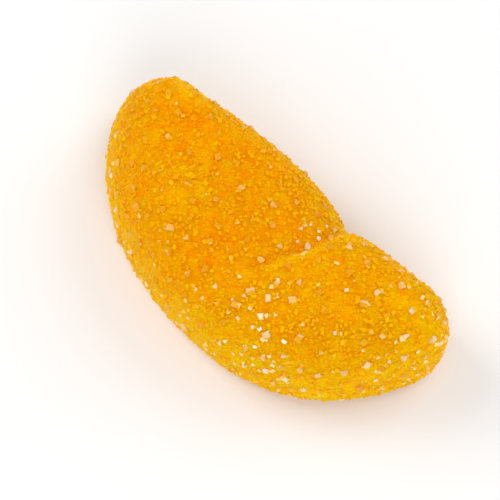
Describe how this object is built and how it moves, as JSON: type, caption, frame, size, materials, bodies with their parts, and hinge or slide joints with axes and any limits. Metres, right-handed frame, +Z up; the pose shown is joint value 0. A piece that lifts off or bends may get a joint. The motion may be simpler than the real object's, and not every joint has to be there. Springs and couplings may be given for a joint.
{
  "type": "sugared jelly fruit slice",
  "caption": "Half-moon slice of golden yellow fruit jelly with a creased lobe, a rounded rim and a coat of sugar crystals, lying on its flat underside.",
  "frame": {"origin": "middle of the flat underside, at the centre of the bounding box's bottom", "axes": "+X along the slice towards the lobed end, +Y towards the inner edge with the notch, +Z up from the flat underside"},
  "size_m": [0.0442, 0.0218, 0.0138],
  "materials": {
    "jelly": "translucent golden yellow fruit jelly, soft and slightly glossy",
    "sugar": "fine clear sugar crystals with bright facets"
  },
  "bodies": {
    "root": {"jelly_slice": "jelly"}
  },
  "joints": []
}
